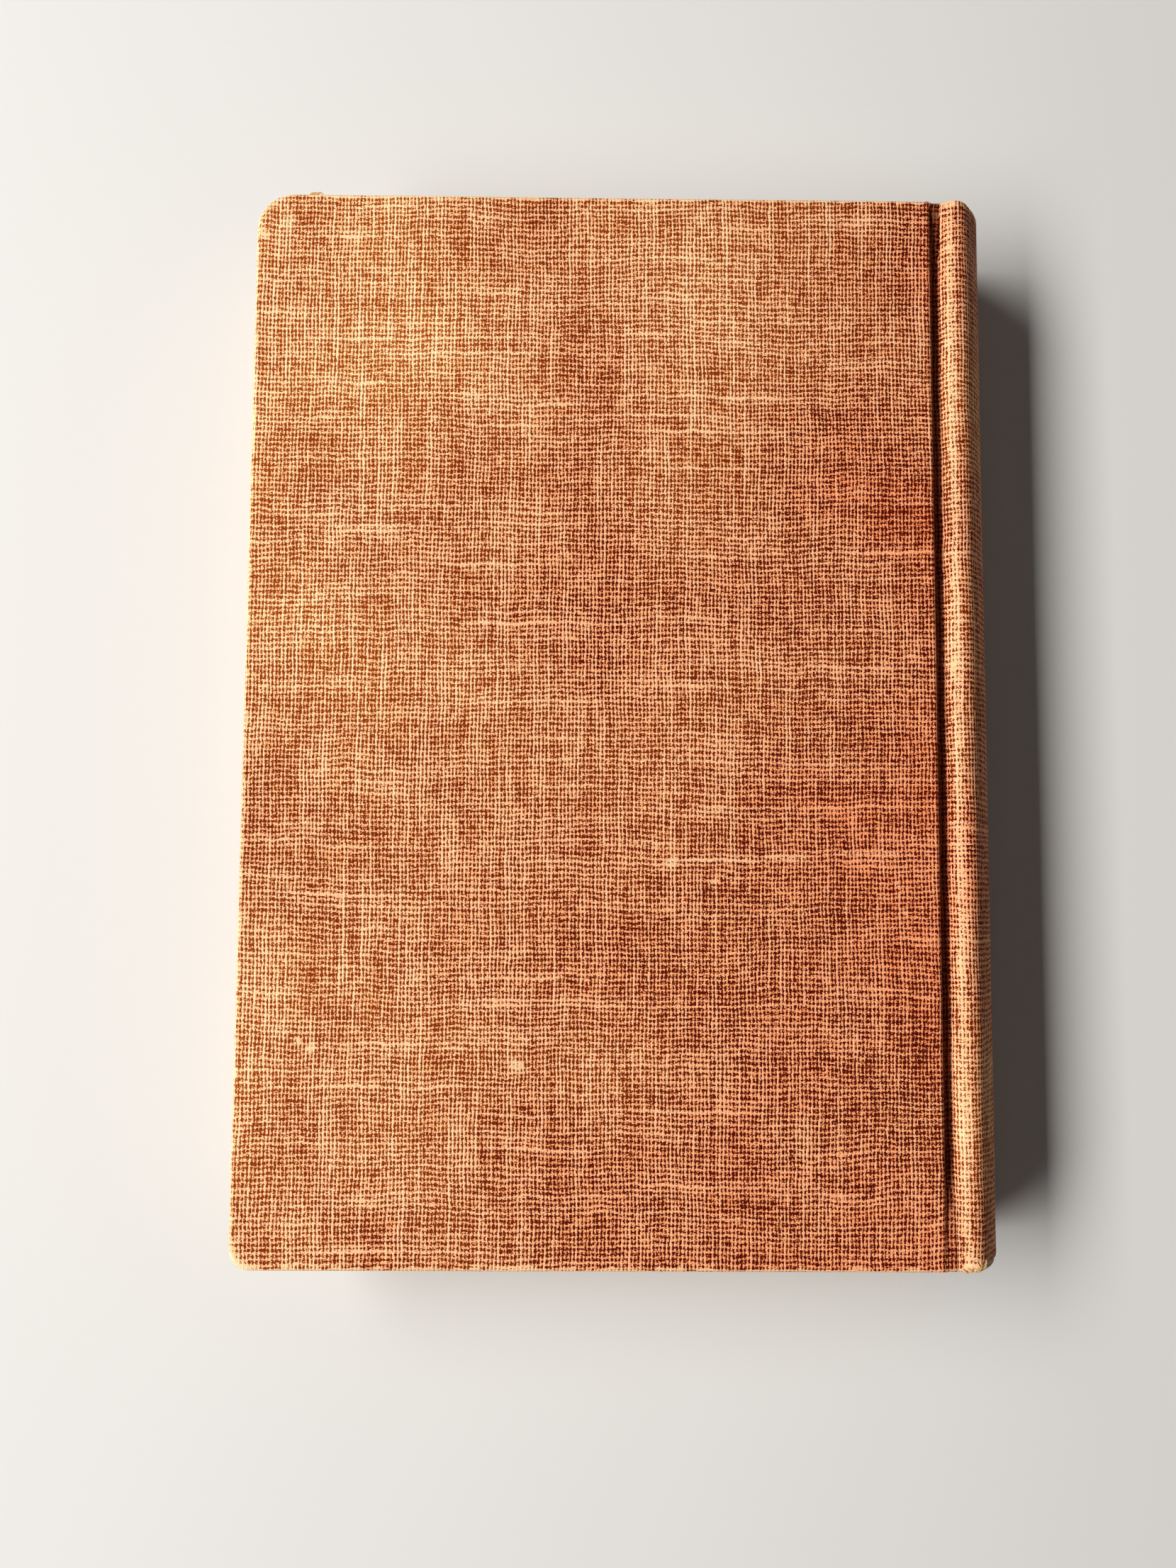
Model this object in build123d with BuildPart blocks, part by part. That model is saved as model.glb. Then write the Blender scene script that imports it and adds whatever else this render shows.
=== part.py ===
from build123d import *

import os
from math import cos, radians, sin, sqrt

os.makedirs("parts", exist_ok=True)

# A hardback book lying on its front cover: +X points to the spine, +Y to the head, +Z up.
# The origin is under the middle of the closed book. Lengths are in millimetres.

# The case, measured over its cloth
case_height = 210.0
case_thickness = 27.0
cover_width = 135.0  # from the fore-edge to the groove
groove_gap = 1.8  # from the cover to the ridge beside the spine
worn_head_corner = 7.5  # the back cover's bumped fore-edge corners
worn_tail_corner = 4.1
sound_corner = 1.5  # the front cover's fore-edge corners

# What the case is made of
board_thickness = 2.3
board_edge_round = 0.5
cloth_thickness = 0.4
turn_in = 15.0  # cloth folded over the boards' edges
inlay_thickness = 0.6  # card strip behind the spine cloth
hollow_gap = 0.2  # left free behind the turned-in spine cloth

# The pages and what is glued to them
square = 3.2  # how far the case stands out past the pages
paper_thickness = 0.15  # endpapers
mull_thickness = 0.4  # gauze over the back of the pages
mull_inset = 1.0  # from the turned-in cloth at head and tail
mull_flap = 22.0  # gauze glued on each board
lining_thickness = 0.25
shoulder_turn = 45.0  # degrees, where a ridge passes into the round of the back
band_bead_width = 1.8  # head and tail bands
band_bead_height = 1.4
band_tape_thickness = 0.3
band_tape_height = 9.0

# Clearances
joint_seam = 0.3  # between the covers' and the spine's stretches of cloth, gauze and paper
paper_clearance = 0.1

# The layers at a cover, from outside to the pages
inside_lap = max(cloth_thickness, mull_thickness)
cover_thickness = cloth_thickness + board_thickness + inside_lap
face_depth = cover_thickness + 2 * paper_thickness
half_thickness = case_thickness / 2
block_half = half_thickness - face_depth
block_height = case_height - 2 * square
edge_round = board_edge_round + cloth_thickness

# The layers round the back, as distances out from the arc through the two ridge middles
ridge_radius = face_depth
inlay_radius = ridge_radius - cloth_thickness
spine_turn_in_radius = inlay_radius - inlay_thickness
lining_radius = spine_turn_in_radius - cloth_thickness - hollow_gap
mull_radius = lining_radius - lining_thickness
shoulder_radius = mull_radius - mull_thickness
back_round = block_half / sin(radians(shoulder_turn))

# Places along X
total_width = cover_width + groove_gap + 2 * ridge_radius + back_round * (1 - cos(radians(shoulder_turn)))
fore_edge_x = -total_width / 2
groove_x = fore_edge_x + cover_width
ridge_x = groove_x + groove_gap + ridge_radius
back_x = ridge_x - back_round * cos(radians(shoulder_turn))
block_fore_x = fore_edge_x + square
cover_seam_x = groove_x + (groove_gap - joint_seam) / 2
spine_seam_x = cover_seam_x + joint_seam

# The section across the book, with its X axis at half the thickness
section = Plane(origin=(0, 0, half_thickness), x_dir=(1, 0, 0), z_dir=(0, -1, 0))
middle = Plane.XY.offset(half_thickness)


def save(solid, name):
    solid.label = name
    export_step(solid, f"parts/{name}.step")


def back_outline(reach):
    """The back of the book in section, a distance out from the arc through the ridge middles."""
    with BuildSketch() as outline:
        with BuildLine():
            upper = CenterArc((ridge_x, block_half), reach, 180, shoulder_turn - 180)
            CenterArc((back_x, 0), back_round + reach, shoulder_turn, -2 * shoulder_turn)
            lower = CenterArc((ridge_x, -block_half), reach, -shoulder_turn, shoulder_turn - 180)
            Line(lower @ 1, upper @ 0)
        make_face()
    return outline.sketch


def back_layer(outer, inner):
    """A layer round the back that ends on top of the two ridges."""
    with BuildSketch() as layer:
        add(back_outline(outer))
        add(back_outline(inner), mode=Mode.SUBTRACT)
        with Locations((ridge_x, 0)):
            Rectangle(2 * outer, case_thickness, align=(Align.MAX, Align.CENTER), mode=Mode.SUBTRACT)
    return layer.sketch


def jointed_layer(outer, inner, foot_top):
    """A layer round the back that runs down each ridge to a foot in the groove."""
    foot_under = foot_top - (outer - inner)
    foot_end = ridge_x - sqrt(inner**2 - (foot_under - block_half) ** 2)
    with BuildSketch() as layer:
        add(back_outline(outer))
        add(back_outline(inner), mode=Mode.SUBTRACT)
        with Locations((ridge_x, 0)):
            Rectangle(2 * outer, 2 * foot_under, align=(Align.MAX, Align.CENTER), mode=Mode.SUBTRACT)
        with Locations((spine_seam_x, foot_under)):
            Rectangle(foot_end - spine_seam_x, outer - inner, align=(Align.MIN, Align.MIN))
        with Locations((spine_seam_x, -foot_under)):
            Rectangle(foot_end - spine_seam_x, outer - inner, align=(Align.MIN, Align.MAX))
    return layer.sketch


def cover_outline(inset, head_corner, tail_corner):
    """A cover seen flat, a distance in from the outside of its cloth."""
    with BuildSketch() as outline:
        with Locations((fore_edge_x + inset, 0)):
            Rectangle(cover_width - 2 * inset, case_height - 2 * inset, align=(Align.MIN, Align.CENTER))
        fillet(outline.vertices().group_by(Axis.X)[0].sort_by(Axis.Y)[-1], head_corner - inset)
        fillet(outline.vertices().group_by(Axis.Y)[0].sort_by(Axis.X)[0], tail_corner - inset)
    return outline.sketch


def make_cover(side, head_corner, tail_corner):
    """One cover's pieces, made as the upper one and turned over for the lower one."""
    board_inside = case_thickness - cloth_thickness - board_thickness
    lap_inside = case_thickness - cover_thickness
    window_fore_x = fore_edge_x + turn_in
    window_width = cover_width - turn_in - mull_flap
    window_height = case_height - 2 * turn_in

    with BuildPart() as board:
        with BuildSketch(Plane.XY.offset(board_inside)):
            add(cover_outline(cloth_thickness, head_corner, tail_corner))
        extrude(amount=board_thickness)
        fillet(board.faces().filter_by(Axis.Z).edges(), board_edge_round)

    with BuildPart() as cloth:
        with BuildSketch(Plane.XY.offset(board_inside - cloth_thickness)):
            add(cover_outline(0, head_corner, tail_corner))
        extrude(amount=board_thickness + 2 * cloth_thickness)
        fillet(cloth.faces().filter_by(Axis.Z).edges(), edge_round)
        add(board.part, mode=Mode.SUBTRACT)
        # The inside of the board is left bare between the turn-ins
        with BuildSketch(Plane.XY.offset(board_inside)):
            with Locations((window_fore_x, 0)):
                Rectangle(cover_width - turn_in, window_height, align=(Align.MIN, Align.CENTER))
        extrude(amount=-cloth_thickness, mode=Mode.SUBTRACT)
        # The foot that the cloth makes in the groove
        with BuildSketch(Plane.XY.offset(board_inside)):
            with Locations((groove_x - cloth_thickness, 0)):
                Rectangle(cover_seam_x - groove_x + cloth_thickness, case_height, align=(Align.MIN, Align.CENTER))
        extrude(amount=cloth_thickness)

    with BuildPart() as flap:
        with BuildSketch(Plane.XY.offset(board_inside)):
            with Locations((cover_seam_x, 0)):
                Rectangle(
                    mull_flap + cover_seam_x - groove_x,
                    window_height - 2 * mull_inset,
                    align=(Align.MAX, Align.CENTER),
                )
        extrude(amount=-mull_thickness)

    # The pasted paper lies over turn-ins and gauze, and sinks on to the board between them
    with BuildPart() as pastedown:
        with BuildSketch(Plane.XY.offset(lap_inside)):
            with Locations((block_fore_x, 0)):
                Rectangle(cover_seam_x - block_fore_x, block_height, align=(Align.MIN, Align.CENTER))
        extrude(amount=-paper_thickness)
        with BuildSketch(Plane.XY.offset(board_inside)):
            with Locations((window_fore_x, 0)):
                Rectangle(window_width, window_height, align=(Align.MIN, Align.CENTER))
        extrude(amount=-(inside_lap + paper_thickness))
        with BuildSketch(Plane.XY.offset(board_inside - paper_thickness)):
            with Locations((window_fore_x + paper_thickness, 0)):
                Rectangle(
                    window_width - 2 * paper_thickness,
                    window_height - 2 * paper_thickness,
                    align=(Align.MIN, Align.CENTER),
                )
        extrude(amount=-inside_lap, mode=Mode.SUBTRACT)

    # The free half of the endpaper, doubled at its fold beside the shoulder
    with BuildPart() as flyleaf:
        fold_x = ridge_x - mull_radius - paper_clearance
        with BuildSketch(middle.offset(block_half)):
            with Locations((block_fore_x, 0)):
                Rectangle(fold_x - block_fore_x, block_height, align=(Align.MIN, Align.CENTER))
        extrude(amount=paper_thickness)
        with BuildSketch(middle.offset(block_half + paper_thickness)):
            with Locations((spine_seam_x, 0)):
                Rectangle(fold_x - spine_seam_x, block_height, align=(Align.MIN, Align.CENTER))
        extrude(amount=paper_thickness)

    pieces = {
        "board": board.part,
        "cloth": cloth.part,
        "mull_flap": flap.part,
        "pastedown": pastedown.part,
        "flyleaf": flyleaf.part,
    }
    for name, piece in pieces.items():
        if side == "front":
            piece = mirror(piece, about=middle)
        save(piece, f"{side}_{name}")


make_cover("back", worn_head_corner, worn_tail_corner)
make_cover("front", sound_corner, sound_corner)

# The pages, hollow at the fore-edge to the same round as their back
block_back_radius = back_round + shoulder_radius
with BuildPart() as text_block:
    with BuildSketch(section):
        with Locations((block_fore_x, 0)):
            Rectangle(ridge_x - block_fore_x, 2 * block_half, align=(Align.MIN, Align.CENTER))
        with Locations((block_fore_x - sqrt(block_back_radius**2 - block_half**2), 0)):
            Circle(block_back_radius, mode=Mode.SUBTRACT)
        add(back_outline(shoulder_radius))
    extrude(amount=block_height / 2, both=True)
save(text_block.part, "text_block")

# Gauze over the back, with a foot in each joint
with BuildPart() as spine_mull:
    with BuildSketch(section):
        add(jointed_layer(mull_radius, shoulder_radius, half_thickness - cloth_thickness - board_thickness))
    extrude(amount=case_height / 2 - turn_in - mull_inset, both=True)
save(spine_mull.part, "spine_mull")

with BuildPart() as spine_lining:
    with BuildSketch(section):
        add(back_layer(lining_radius, mull_radius))
    extrude(amount=block_height / 2, both=True)
save(spine_lining.part, "spine_lining")

with BuildPart() as spine_inlay:
    with BuildSketch(section):
        add(back_layer(inlay_radius, spine_turn_in_radius))
    extrude(amount=case_height / 2 - cloth_thickness, both=True)
save(spine_inlay.part, "spine_inlay")

# Spine cloth, turned in over the card strip at head and tail
with BuildPart() as spine_cloth:
    with BuildSketch(section):
        add(jointed_layer(ridge_radius, inlay_radius, half_thickness - board_thickness))
    extrude(amount=case_height / 2, both=True)
    for end in (1, -1):
        with BuildSketch(section.offset(end * case_height / 2)):
            add(back_layer(ridge_radius, spine_turn_in_radius - cloth_thickness))
        extrude(amount=-end * cloth_thickness)
        with BuildSketch(section.offset(end * (case_height / 2 - cloth_thickness))):
            add(back_layer(spine_turn_in_radius, spine_turn_in_radius - cloth_thickness))
        extrude(amount=-end * (turn_in - cloth_thickness))
save(spine_cloth.part, "spine_cloth")

# Head and tail bands: a bead on the pages' end and a tape down their back
band_start = Plane(
    origin=(back_x, 0, half_thickness),
    x_dir=(cos(radians(shoulder_turn)), 0, -sin(radians(shoulder_turn))),
    z_dir=(sin(radians(shoulder_turn)), 0, cos(radians(shoulder_turn))),
)
with BuildPart() as head_band:
    with BuildSketch(band_start):
        with Locations((block_back_radius, block_height / 2)):
            Rectangle(band_tape_thickness, band_tape_height, align=(Align.MIN, Align.MAX))
        with Locations((block_back_radius + band_tape_thickness, block_height / 2)):
            bead = Rectangle(band_bead_width, band_bead_height, align=(Align.MAX, Align.MIN))
        fillet(bead.vertices().group_by(Axis.Y)[-1], band_bead_height / 2)
    revolve(axis=Axis((back_x, 0, half_thickness), (0, -1, 0)), revolution_arc=2 * shoulder_turn)
save(head_band.part, "head_band")
save(mirror(head_band.part, about=Plane.XZ), "tail_band")
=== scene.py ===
from math import asin, cos, degrees, pi, radians, sin, sqrt
from random import Random

import bmesh
import bpy
from mathutils import Matrix, Vector, noise


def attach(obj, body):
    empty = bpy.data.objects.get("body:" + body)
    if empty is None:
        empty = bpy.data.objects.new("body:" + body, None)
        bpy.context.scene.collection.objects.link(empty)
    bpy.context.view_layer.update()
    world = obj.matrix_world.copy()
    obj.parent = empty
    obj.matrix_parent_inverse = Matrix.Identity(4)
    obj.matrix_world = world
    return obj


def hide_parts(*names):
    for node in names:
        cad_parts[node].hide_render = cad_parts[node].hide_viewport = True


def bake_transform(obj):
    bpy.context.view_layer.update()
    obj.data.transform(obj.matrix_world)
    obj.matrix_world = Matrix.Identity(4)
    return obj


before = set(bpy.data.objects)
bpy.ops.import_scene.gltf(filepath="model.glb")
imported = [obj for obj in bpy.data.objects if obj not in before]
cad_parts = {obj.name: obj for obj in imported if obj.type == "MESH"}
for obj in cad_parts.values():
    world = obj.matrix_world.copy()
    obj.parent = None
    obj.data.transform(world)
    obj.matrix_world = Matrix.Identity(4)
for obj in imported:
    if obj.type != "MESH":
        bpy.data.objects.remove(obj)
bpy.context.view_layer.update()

# The book lies on its front cover: +X to the spine, +Y to the head, +Z up. Lengths are in
# millimetres here, and a finished piece is brought to metres.

# The case, as in the part's source
CASE_HALF_HEIGHT = 105.0
CASE_THICKNESS = 27.0
MID_Z = CASE_THICKNESS / 2
FORE_EDGE_X = -73.892
GROOVE_X = 61.108
COVER_THICKNESS = 3.1
EDGE_ROUND = 0.9
TURN_IN = 15.0
CLOTH = 0.4
WORN_HEAD_CORNER = 7.5
WORN_TAIL_CORNER = 4.1
SOUND_CORNER = 1.5
GROOVE_CORNER = 0.8

# The back of the book in section
RIDGE_X = 66.308
RIDGE_Z = 23.6
RIDGE_RADIUS = 3.4
BACK_X = 56.208
BACK_ROUND = 14.284
SHOULDER_TURN = 45.0
GROOVE_FLOOR_Z = 24.7
COVER_SEAM_X = 61.858
SPINE_WRAP = 1.4  # from the outside of the spine cloth to its turned-in side

# The pages
BLOCK_FORE_X = -70.692
BLOCK_HALF_HEIGHT = 101.8
BLOCK_HALF = 10.1
SHOULDER_RADIUS = 1.15
PAPER = 0.15
FOLD_X = 64.658
GAUZE = 0.4
GAUZE_RADIUS = 1.55
GAUZE_FOOT_Z = 24.3
GAUZE_HALF_HEIGHT = 89.0
GAUZE_FLAP = 22.0
PASTED_SLOPE = 1.5  # how far the pasted endpaper takes to sink on to the board
PAGES_BACK = BACK_ROUND + SHOULDER_RADIUS
LEAVES = 60  # as many as show: real leaves are thinner
GATHERING = 6  # leaves to a folded section, also drawn coarser than they are
LEAF_END = 0.9  # a face of the pages whose normal lies this much along the book is a cut end
TAPE = 0.3
TAPE_DEPTH = 9.0
BAND_CORE = 0.7
BAND_SIDES = 10
BAND_TURNS = 48
BAND_THREAD = 0.5

# How the spine cloth bends into the groove and up the ridge
GROOVE_BEND = 0.7  # at the foot of the cover's wall
RIDGE_BEND = 0.5  # at the foot of the ridge
STRIP_TOP_Z = 25.6
STRIP_PROUD = 0.02  # the strip lies on the cover's wall
BEND_Z = GROOVE_FLOOR_Z + RIDGE_BEND
BEND_X = RIDGE_X - sqrt((RIDGE_RADIUS + RIDGE_BEND) ** 2 - (BEND_Z - RIDGE_Z) ** 2)
BEND_TURN = 90 - degrees(asin((BEND_Z - RIDGE_Z) / (RIDGE_RADIUS + RIDGE_BEND)))
RIDGE_TURN = 90 + BEND_TURN - SHOULDER_TURN

# The cloth's flat measure across the case: X on the back cover, and on past its groove
RIDGE_FOOT_U = GROOVE_X + CASE_THICKNESS - GROOVE_FLOOR_Z - GROOVE_BEND + GROOVE_BEND * pi / 2
RIDGE_FOOT_U += BEND_X - GROOVE_X - STRIP_PROUD - GROOVE_BEND + RIDGE_BEND * radians(BEND_TURN)
GROOVE_FLOOR_U = RIDGE_FOOT_U - 1.5
RIDGE_CREST_U = RIDGE_FOOT_U + 2.5
MID_SPINE_U = RIDGE_FOOT_U + RIDGE_RADIUS * radians(RIDGE_TURN)
MID_SPINE_U += (BACK_ROUND + RIDGE_RADIUS) * radians(SHOULDER_TURN)

# Where the back cover's groove starts to run out towards the tail and the head, and how far it rises
GROOVE_FADES_Y = -86.0
GROOVE_FADE = 12.0
GROOVE_ENDS_Y = 101.0
GROOVE_END = 3.0
GROOVE_RISE = 1.7

# How far the ridge's ends are domed at its crest and rounded off to the spine, and over what length
HEAD_SWELL, HEAD_DROP = 0.4, 0.5
TAIL_SWELL, TAIL_DROP = 0.0, 0.9
RIDGE_END = 1.5
CLOSE_ROWS = (1.6, 3.4)  # extra sections of the spine cloth, this far from where it turns in

# How uneven the cloth lies: the ridge in lumps, the covers in long low waves
LUMP_HEIGHT = 0.12
LUMP_ACROSS = 9.0
LUMP_ALONG = 17.0
WAVE_HEIGHT = 0.22
WAVE_LENGTH = 42.0
CUT_SPACING = 7.5  # between the cuts that let a cover follow its waves

# Where the back cover is rubbed and where its largest nubs and slubs are, in the cloth's flat measure: the
# middle, how far it reaches, how pale it is, and how many times longer it is across the cover
RUBBED_PLACES = [
    (FORE_EDGE_X + 6.2, CASE_HALF_HEIGHT - 5.8, 1.8, 0.35, 1),
    (FORE_EDGE_X + 1.0, CASE_HALF_HEIGHT - 8.5, 2.0, 0.4, 1),
    (RIDGE_CREST_U + 1.0, -CASE_HALF_HEIGHT + 0.3, 2.6, 0.7, 1),
    (RIDGE_CREST_U + 0.5, CASE_HALF_HEIGHT - 0.3, 1.6, 0.6, 1),
    (9.3, -28.2, 1.5, 0.42, 1),
    (-20.3, -66.7, 1.8, 0.5, 1),
    (-61.6, -62.4, 0.8, 0.5, 1),
    (-59.3, -63.8, 1.0, 0.5, 1),
    (52.4, -32.5, 0.8, 0.4, 1),
    (16.7, -32.0, 0.8, 0.35, 2),
    (54.0, -37.6, 0.8, 0.35, 1),
    (18.0, -27.8, 0.6, 0.27, 16),
    (32.0, -27.2, 0.9, 0.3, 7),
    (47.0, -26.4, 0.5, 0.25, 24),
    (4.5, -24.7, 0.6, 0.27, 9),
    (17.0, -17.7, 0.6, 0.27, 6),
]

CREASE = radians(50)  # edges that turn more are drawn sharp
CLOTH_MAP = "cloth_mm"
SMOOTH = {"interpolation_type": "SMOOTHSTEP"}


def linear(hex_colour):
    """An sRGB hex colour as the linear RGBA that Blender's sockets take."""
    parts = [int(hex_colour[k:k + 2], 16) / 255 for k in (1, 3, 5)]
    return tuple(c / 12.92 if c <= 0.04045 else ((c + 0.055) / 1.055) ** 2.4 for c in parts) + (1.0,)


def node(tree, kind, *feeds, sockets=None, **settings):
    """Adds a node and feeds its sockets, in order or by name, from nodes, sockets or values."""
    made = tree.nodes.new("ShaderNode" + kind)
    for name, value in settings.items():
        setattr(made, name, value)
    wanted = [(at, feed) for at, feed in enumerate(feeds) if feed is not None]
    wanted += list((sockets or {}).items())
    for at, feed in wanted:
        if isinstance(feed, bpy.types.Node):
            feed = feed.outputs[0]
        if isinstance(feed, bpy.types.NodeSocket):
            tree.links.new(feed, made.inputs[at])
        else:
            made.inputs[at].default_value = feed
    return made


def new_material(name, **surface):
    """An empty node material with a Principled surface, and its tree."""
    made = bpy.data.materials.new(name)
    made.use_nodes = True
    tree = made.node_tree
    tree.nodes.clear()
    shader = node(tree, "BsdfPrincipled", sockets=surface)
    node(tree, "OutputMaterial", shader)
    return made, tree, shader


def set_stops(ramp, stops):
    """Puts a colour ramp's stops in place from pairs of position and hex colour."""
    elements = ramp.color_ramp.elements
    while len(elements) < len(stops):
        elements.new(1.0)
    for element, (place, colour) in zip(elements, stops):
        element.position = place
        element.color = linear(colour)


# The book cloth's weave
YARN = 0.28
WARP_PITCH = 0.72  # between the threads that run from head to tail
WEFT_PITCH = 1.04  # between the threads that run across
WARP_SLUB = 30.0  # how long a thread's thick and thin stretches are
WEFT_SLUB = 36.0
NUB = 2.0
THREAD_KEY = 9.73  # sets each thread's noise apart from its neighbours'
ARRIS = 1.4  # from the middle of a cover's edge to its rubbed arris


def book_cloth():
    """Plain-woven natural linen, sized and matt. The eye sees tan yarn both ways, uneven in thickness, dark
    specks where the weave is open, and pale rubbed edges. Painted shade, with a little grime, darkens its
    grooves, and painted light makes a cover paler towards its fore-edge and head."""
    surface = {"Roughness": 0.7, "Specular IOR Level": 0.05}
    made, t, shader = new_material("natural_linen_book_cloth", **surface)
    place = node(t, "UVMap", uv_map=CLOTH_MAP)
    split = node(t, "SeparateXYZ", place)
    along = split.outputs["Y"]
    past_middle = node(t, "Math", split.outputs["X"], MID_SPINE_U, operation="SUBTRACT")
    from_spine = node(t, "Math", past_middle, operation="ABSOLUTE")
    from_fore = node(t, "Math", MID_SPINE_U - FORE_EDGE_X, from_spine, operation="SUBTRACT")
    wear = cloth_wear(t, place, from_fore, along)
    unfaded_and_painted_dim = kept_colour_and_painted_light(t, place, from_fore, along)
    yarn_tone, yarn_round, hole = weave(t, place, split, wear)

    # Where the cloth has not faded, and where painted light dims it towards the groove and the tail, its
    # holes are deeper and its yarn is a red-brown
    hole_deepening = node(t, "MapRange", unfaded_and_painted_dim, 0.0, 1.0, 0.64, 1.12)
    hole_depth = node(t, "Math", hole, hole_deepening, operation="MULTIPLY", use_clamp=True)
    closed = node(t, "Math", 1.0, hole_depth, operation="SUBTRACT")
    tone = node(t, "Math", yarn_tone, closed, operation="MULTIPLY")
    ramp = node(t, "ValToRGB", tone)
    set_stops(ramp, [
        (0.0, "#4e1000"),
        (0.3, "#983d05"),
        (0.55, "#e1924a"),
        (0.8, "#ffc588"),
        (1.0, "#ffe2b0"),
    ])
    red_brown = {"A": ramp, "B": linear("#ffbfb2")}
    tinted = node(t, "Mix", unfaded_and_painted_dim, sockets=red_brown, data_type="RGBA", blend_type="MULTIPLY")

    # Rubbing shows the yarn's pale inside, and painted shade with some grime lies over all in the grooves
    rubbed = node(t, "Math", wear, closed, operation="MULTIPLY")
    bare_yarn = {"A": tinted.outputs["Result"], "B": linear("#f3d6a6")}
    pale = node(t, "Mix", rubbed, sockets=bare_yarn, data_type="RGBA")
    # Painted shade, with a little grime, darkens the grooves
    groove_shaded = groove_shade_and_dust(t, from_fore, along)
    shade_and_grime_colour = {"A": pale.outputs["Result"], "B": linear("#8a6a58")}
    colour = node(t, "Mix", groove_shaded, sockets=shade_and_grime_colour, data_type="RGBA", blend_type="MULTIPLY")
    t.links.new(colour.outputs["Result"], shader.inputs["Base Color"])

    height = node(t, "Math", closed, yarn_round, operation="MULTIPLY")
    bump = node(t, "Bump", sockets={"Strength": 0.7, "Distance": 0.00012, "Height": height})
    t.links.new(bump.outputs["Normal"], shader.inputs["Normal"])
    return made


def thread_set(t, split, runs, pitch, sway, slub, gap_widths):
    """One set of the weave's threads, which run along the cloth map's axis 0 or 1. Gives a point's place
    among them, how thick its thread is there, how near it is to the thread's middle, and how open the
    weave is there: less beside a thick stretch than beside a thin one."""
    order = node(t, "Math", split.outputs[1 - runs], 1 / pitch, sway, operation="MULTIPLY_ADD")
    number = node(t, "Math", order, operation="FLOOR")
    key = node(t, "Math", number, THREAD_KEY, operation="MULTIPLY")
    own_line = [key, key]
    own_line[runs] = split.outputs[runs]
    on_thread = node(t, "CombineXYZ", *own_line)
    stretches = []
    for length, detail, roughness in ((slub, 2.0, 0.6), (NUB, 1.0, 0.5)):
        shortened = [1.0, 1.0, 1.0]
        shortened[runs] = 1 / length
        spot = node(t, "VectorMath", on_thread, shortened, operation="MULTIPLY")
        stretches.append(node(t, "TexNoise", spot, None, 1.0, detail, roughness, noise_dimensions="2D"))
    thickness, nubs = stretches
    body = node(t, "Math", thickness, 2.0, nubs, operation="MULTIPLY_ADD")
    gap_width = node(t, "MapRange", body, 1.1, 1.9, *gap_widths)
    from_gap = node(t, "Math", order, 0.5, operation="PINGPONG")
    to_middle = node(t, "Math", from_gap, 2.0, operation="MULTIPLY")
    opening = node(t, "MapRange", to_middle, 0.0, gap_width, 1.0, 0.0, **SMOOTH)
    return order, thickness, to_middle, opening


def weave(t, place, split, wear):
    """The cloth's weave: its yarn's tone and round, and its holes, from 0 to 1, which rubbing closes."""
    # The threads wander from straight lines, over 40 mm and in smaller bends down to 2.5 mm
    sway = node(t, "TexNoise", place, None, 1 / 40, 4.0, 0.68, noise_dimensions="2D")
    sway_parts = node(t, "SeparateColor", sway.outputs["Color"])
    warp_sway = node(t, "Math", sway_parts.outputs["Red"], 2.2, -1.1, operation="MULTIPLY_ADD")
    weft_sway = node(t, "Math", sway_parts.outputs["Green"], 3.4, -1.7, operation="MULTIPLY_ADD")
    warps = thread_set(t, split, 1, WARP_PITCH, warp_sway, WARP_SLUB, (1.8, 0.95))
    wefts = thread_set(t, split, 0, WEFT_PITCH, weft_sway, WEFT_SLUB, (1.5, 1.15))
    warp, warp_slub, warp_middle, warp_open = warps
    weft, weft_slub, weft_middle, weft_open = wefts

    # The weave is closer in patches of 12 by 4 mm, no two holes are alike, fluff breaks them up, and the
    # thickest slubs close some
    drawn_out = node(t, "VectorMath", place, (1 / 12, 1 / 4, 1.0), operation="MULTIPLY")
    patches = node(t, "TexNoise", drawn_out, None, 1.0, 2.0, 0.5, noise_dimensions="2D")
    looseness = node(t, "Math", patches, 0.2, -0.1, operation="MULTIPLY_ADD")
    between_warps = node(t, "Math", warp, operation="ROUND")
    between_wefts = node(t, "Math", weft, operation="ROUND")
    this_hole = node(t, "CombineXYZ", between_warps, between_wefts)
    chance = node(t, "TexWhiteNoise", this_hole, noise_dimensions="2D")
    chosen = node(t, "Math", chance, 0.18, looseness, operation="MULTIPLY_ADD")
    fluff = node(t, "TexNoise", place, None, 1 / 0.3, 2.0, 0.65, noise_dimensions="2D")
    fluffed = node(t, "Math", fluff, 1.5, chosen, operation="MULTIPLY_ADD")
    thick_weft = node(t, "MapRange", weft_slub, 0.65, 0.8, 0.0, 0.15)
    between = node(t, "Math", fluffed, thick_weft, operation="SUBTRACT")
    one_open = node(t, "Math", warp_open, 0.55, between, operation="MULTIPLY_ADD")
    gap = node(t, "Math", weft_open, 0.45, one_open, operation="MULTIPLY_ADD")
    left_open = node(t, "Math", wear, -0.6, gap, operation="MULTIPLY_ADD")
    hole = node(t, "MapRange", left_open, 1.40, 1.60, 0.0, 1.0, **SMOOTH)

    # The threads from head to tail lie on top of the others, which show between them
    warp_over = node(t, "Math", 1.0, warp_open, operation="SUBTRACT")
    warp_tone = node(t, "MapRange", warp_slub, 0.3, 0.7, 0.8, 1.05)
    weft_tone = node(t, "MapRange", weft_slub, 0.3, 0.7, 0.78, 0.98)
    yarn_tone = node(t, "Mix", warp_over, None, weft_tone, warp_tone, data_type="FLOAT")
    yarn_round = node(t, "Mix", warp_over, None, weft_middle, warp_middle, data_type="FLOAT")
    fibrous = node(t, "MapRange", fluff, 0.3, 0.7, 1.08, 0.88)
    fibrous_tone = node(t, "Math", yarn_tone, fibrous, operation="MULTIPLY")
    return fibrous_tone, yarn_round, hole


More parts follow.
